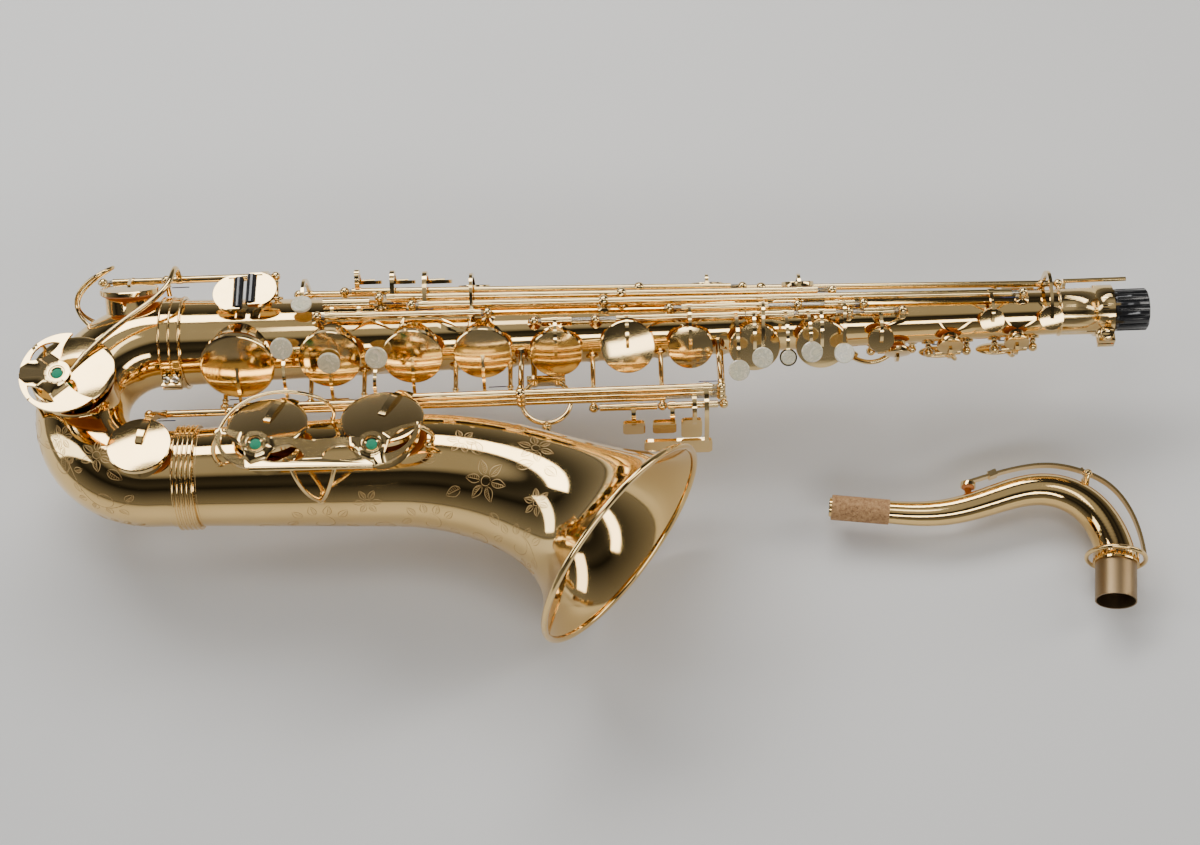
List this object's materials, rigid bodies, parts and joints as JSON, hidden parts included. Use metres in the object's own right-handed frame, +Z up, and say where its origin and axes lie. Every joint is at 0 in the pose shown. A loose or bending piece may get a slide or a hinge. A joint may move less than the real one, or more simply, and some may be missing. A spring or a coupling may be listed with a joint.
{
  "type": "tenor saxophone",
  "caption": "Tenor saxophone laid on its left side with the neck taken off beside it: conical body, bow, flared bell, full keywork on hinge rods, end plug.",
  "frame": {"origin": "bottom centre of the whole layout's box: instrument lying on its left side, neck beside it", "axes": "+X along the body tube towards the neck receiver, +Y towards the player's side, +Z up, out of the instrument's right side"},
  "size_m": [0.7524, 0.27, 0.1574],
  "materials": {
    "lacquered_brass": "gold-lacquered, mirror polished",
    "raw_brass": "bare, dulled by handling",
    "key_brass": "gold-lacquered, polished",
    "rod_steel": "turned steel",
    "blued_steel": "heat blued",
    "green_felt": "pressed wool felt",
    "natural_cork": "sanded cork",
    "black_plastic": "glossy"
  },
  "bodies": {
    "root": {"body_tube": "lacquered_brass", "bow": "lacquered_brass", "bell": "lacquered_brass", "body_ferrule": "lacquered_brass", "ferrule_screws": "rod_steel", "bell_ferrule": "lacquered_brass", "neck_receiver": "key_brass", "hinge_rods": "rod_steel", "key_posts": "key_brass", "bell_key_guard": "key_brass", "low_c_guard": "key_brass", "low_eb_guard": "key_brass", "guard_felts": "green_felt", "bell_brace": "key_brass", "strap_ring": "key_brass", "thumb_hook": "key_brass", "thumb_rest": "key_brass", "needle_springs": "blued_steel"},
    "neck": {"neck_tube": "lacquered_brass", "neck_tenon": "raw_brass", "neck_cork": "natural_cork", "neck_key_posts": "key_brass"},
    "neck_octave_key": {"neck_octave_key": "key_brass"},
    "end_plug": {"end_plug": "black_plastic"},
    "clamp_screw": {"clamp_screw": "key_brass"},
    "low_bb_key": {"low_bb_key": "key_brass"},
    "low_b_key": {"low_b_key": "key_brass"},
    "low_c_sharp_key": {"low_c_sharp_key": "key_brass"},
    "low_c_key": {"low_c_key": "key_brass"},
    "low_eb_key": {"low_eb_key": "key_brass"},
    "rh_d_key": {"rh_d_key": "key_brass"},
    "rh_e_key": {"rh_e_key": "key_brass"},
    "rh_f_key": {"rh_f_key": "key_brass"},
    "f_sharp_key": {"f_sharp_key": "key_brass"},
    "side_f_sharp_key": {"side_f_sharp_key": "key_brass"},
    "g_sharp_key": {"g_sharp_key": "key_brass"},
    "lh_g_key": {"lh_g_key": "key_brass"},
    "lh_a_key": {"lh_a_key": "key_brass"},
    "bis_key": {"bis_key": "key_brass"},
    "lh_b_key": {"lh_b_key": "key_brass"},
    "lh_c_key": {"lh_c_key": "key_brass"},
    "front_f_key": {"front_f_key": "key_brass"},
    "side_c_key": {"side_c_key": "key_brass"},
    "side_bb_key": {"side_bb_key": "key_brass"},
    "high_e_key": {"high_e_key": "key_brass"},
    "high_f_sharp_key": {"high_f_sharp_key": "key_brass"},
    "palm_d_key": {"palm_d_key": "key_brass"},
    "palm_eb_key": {"palm_eb_key": "key_brass"},
    "palm_f_key": {"palm_f_key": "key_brass"},
    "g_sharp_touch": {"g_sharp_touch": "key_brass"},
    "low_c_sharp_touch": {"low_c_sharp_touch": "key_brass"},
    "octave_thumb_lever": {"octave_thumb_lever": "key_brass"},
    "octave_pip_key": {"octave_pip_key": "key_brass"},
    "eb_roller": {"eb_roller": "black_plastic"},
    "c_roller": {"c_roller": "black_plastic"}
  },
  "joints": [
    {"name": "low_bb_key_hinge", "type": "hinge", "parent": "root", "child": "low_bb_key", "pos_m": [-0.12595, 0.0265, 0.10068], "axis": [1, 0, 0], "range_deg": [0, 8.57]},
    {"name": "low_b_key_hinge", "type": "hinge", "parent": "root", "child": "low_b_key", "pos_m": [-0.20295, 0.0265, 0.09448], "axis": [1, 0, 0], "range_deg": [0, 8.04]},
    {"name": "low_c_sharp_key_hinge", "type": "hinge", "parent": "root", "child": "low_c_sharp_key", "pos_m": [-0.29295, 0.0265, 0.08828], "axis": [1, 0, 0], "range_deg": [-5.61, 0]},
    {"name": "low_c_key_hinge", "type": "hinge", "parent": "root", "child": "low_c_key", "pos_m": [-0.28715, 0.1249, 0.09868], "axis": [1, 0, 0], "range_deg": [0, 4.94]},
    {"name": "low_eb_key_hinge", "type": "hinge", "parent": "root", "child": "low_eb_key", "pos_m": [-0.33095, 0.1318, 0.08678], "axis": [1, 0, 0], "range_deg": [-6.48, 0]},
    {"name": "rh_d_key_hinge", "type": "hinge", "parent": "root", "child": "rh_d_key", "pos_m": [-0.24395, 0.03709, 0.07568], "axis": [0.9999, 0.0155, 0], "range_deg": [-8.26, 0]},
    {"name": "rh_e_key_hinge", "type": "hinge", "parent": "root", "child": "rh_e_key", "pos_m": [-0.18595, 0.038, 0.07568], "axis": [0.9999, 0.0155, 0], "range_deg": [-7.84, 0]},
    {"name": "rh_f_key_hinge", "type": "hinge", "parent": "root", "child": "rh_f_key", "pos_m": [-0.14995, 0.03855, 0.07568], "axis": [0.9999, 0.0155, 0], "range_deg": [-8.2, 0]},
    {"name": "f_sharp_key_hinge", "type": "hinge", "parent": "root", "child": "f_sharp_key", "pos_m": [-0.08395, 0.03958, 0.07568], "axis": [0.9999, 0.0155, 0], "range_deg": [-8.27, 0]},
    {"name": "side_f_sharp_key_hinge", "type": "hinge", "parent": "root", "child": "side_f_sharp_key", "pos_m": [-0.17895, 0.08349, 0.11304], "axis": [0.9997, 0.0021, -0.0238], "range_deg": [0, 5.28]},
    {"name": "g_sharp_key_hinge", "type": "hinge", "parent": "root", "child": "g_sharp_key", "pos_m": [-0.03395, 0.07691, 0.10819], "axis": [0.9997, 0.0074, -0.0227], "range_deg": [-12.39, 0]},
    {"name": "lh_g_key_hinge", "type": "hinge", "parent": "root", "child": "lh_g_key", "pos_m": [0.01605, 0.07728, 0.10705], "axis": [0.9997, 0.0074, -0.0227], "range_deg": [0, 13.07]},
    {"name": "lh_a_key_hinge", "type": "hinge", "parent": "root", "child": "lh_a_key", "pos_m": [0.06005, 0.08399, 0.10735], "axis": [0.9997, 0.0021, -0.0238], "range_deg": [0, 9.39]},
    {"name": "bis_key_hinge", "type": "hinge", "parent": "root", "child": "bis_key", "pos_m": [0.10305, 0.07792, 0.10507], "axis": [0.9997, 0.0074, -0.0227], "range_deg": [0, 11.02]},
    {"name": "lh_b_key_hinge", "type": "hinge", "parent": "root", "child": "lh_b_key", "pos_m": [0.13805, 0.07818, 0.10428], "axis": [0.9997, 0.0074, -0.0227], "range_deg": [0, 11.29]},
    {"name": "lh_c_key_hinge", "type": "hinge", "parent": "root", "child": "lh_c_key", "pos_m": [0.18205, 0.07851, 0.10328], "axis": [0.9997, 0.0074, -0.0227], "range_deg": [0, 11.03]},
    {"name": "front_f_key_hinge", "type": "hinge", "parent": "root", "child": "front_f_key", "pos_m": [0.15605, 0.08419, 0.10506], "axis": [0.9997, 0.0021, -0.0238], "range_deg": [0, 7.98]},
    {"name": "side_c_key_hinge", "type": "hinge", "parent": "root", "child": "side_c_key", "pos_m": [-0.13795, 0.09851, 0.10996], "axis": [0.9997, -0.0086, -0.0223], "range_deg": [0, 9.43]},
    {"name": "side_bb_key_hinge", "type": "hinge", "parent": "root", "child": "side_bb_key", "pos_m": [-0.16195, 0.10556, 0.10694], "axis": [0.9997, -0.0134, -0.0198], "range_deg": [0, 12.8]},
    {"name": "high_e_key_hinge", "type": "hinge", "parent": "root", "child": "high_e_key", "pos_m": [-0.11595, 0.09109, 0.11134], "axis": [0.9997, -0.0033, -0.0237], "range_deg": [-8.9, 0]},
    {"name": "high_f_sharp_key_hinge", "type": "hinge", "parent": "root", "child": "high_f_sharp_key", "pos_m": [-0.19795, 0.12144, 0.07868], "axis": [0.9997, -0.0239, 0], "range_deg": [-6.13, 0]},
    {"name": "palm_d_key_hinge", "type": "hinge", "parent": "root", "child": "palm_d_key", "pos_m": [0.19445, 0.07372, 0.05654], "axis": [0.9997, 0.0119, 0.0207], "range_deg": [0, 9.27]},
    {"name": "palm_eb_key_hinge", "type": "hinge", "parent": "root", "child": "palm_eb_key", "pos_m": [0.23245, 0.0663, 0.06454], "axis": [0.9997, 0.0196, 0.0137], "range_deg": [0, 11.65]},
    {"name": "palm_f_key_hinge", "type": "hinge", "parent": "root", "child": "palm_f_key", "pos_m": [0.27745, 0.06718, 0.06515], "axis": [0.9997, 0.0196, 0.0137], "range_deg": [0, 12.19]},
    {"name": "g_sharp_touch_hinge", "type": "hinge", "parent": "root", "child": "g_sharp_touch", "pos_m": [0.00305, 0.0245, 0.07968], "axis": [1, 0, 0], "range_deg": [0, 7.98]},
    {"name": "low_c_sharp_touch_hinge", "type": "hinge", "parent": "root", "child": "low_c_sharp_touch", "pos_m": [0.04855, 0.0245, 0.07968], "axis": [1, 0, 0], "range_deg": [0, 7.98]},
    {"name": "octave_thumb_lever_hinge", "type": "hinge", "parent": "root", "child": "octave_thumb_lever", "pos_m": [0.22905, 0.10242, 0.05971], "axis": [0.9998, -0.0124, 0.0148], "range_deg": [0, 6.98]},
    {"name": "octave_pip_key_hinge", "type": "hinge", "parent": "root", "child": "octave_pip_key", "pos_m": [0.28105, 0.10812, 0.07248], "axis": [0.9997, -0.023, 0.0066], "range_deg": [0, 8.98]},
    {"name": "eb_roller_spin", "type": "hinge", "parent": "low_eb_key", "child": "eb_roller", "pos_m": [-0.23775, 0.0922, 0.11348], "axis": [0, 1, 0], "continuous": true},
    {"name": "c_roller_spin", "type": "hinge", "parent": "low_c_key", "child": "c_roller", "pos_m": [-0.22915, 0.0936, 0.11625], "axis": [0, 0.9962, -0.0865], "continuous": true},
    {"name": "neck_lift", "type": "slide", "parent": "root", "child": "neck", "axis": [0, 0, 1], "range_m": [0, 0.12]},
    {"name": "neck_octave_hinge", "type": "hinge", "parent": "neck", "child": "neck_octave_key", "pos_m": [0.33305, -0.0114, 0.02218], "axis": [0, 0, 1], "range_deg": [-2.2, 0]},
    {"name": "end_plug_slide", "type": "slide", "parent": "root", "child": "end_plug", "axis": [1, 0, 0], "range_m": [0, 0.04]},
    {"name": "clamp_screw_turn", "type": "hinge", "parent": "root", "child": "clamp_screw", "pos_m": [0.34605, 0.0647, 0.07868], "axis": [0, 0, 1], "continuous": true}
  ],
  "couplings": [
    {"joint": "g_sharp_key_hinge", "follows": "g_sharp_touch_hinge", "ratio": -1.5449},
    {"joint": "low_c_sharp_key_hinge", "follows": "low_c_sharp_touch_hinge", "ratio": -0.69949},
    {"joint": "octave_pip_key_hinge", "follows": "octave_thumb_lever_hinge", "ratio": 1.2801},
    {"joint": "f_sharp_key_hinge", "follows": "rh_f_key_hinge", "ratio": 1.0036},
    {"joint": "lh_c_key_hinge", "follows": "lh_a_key_hinge", "ratio": 1.1686}
  ]
}
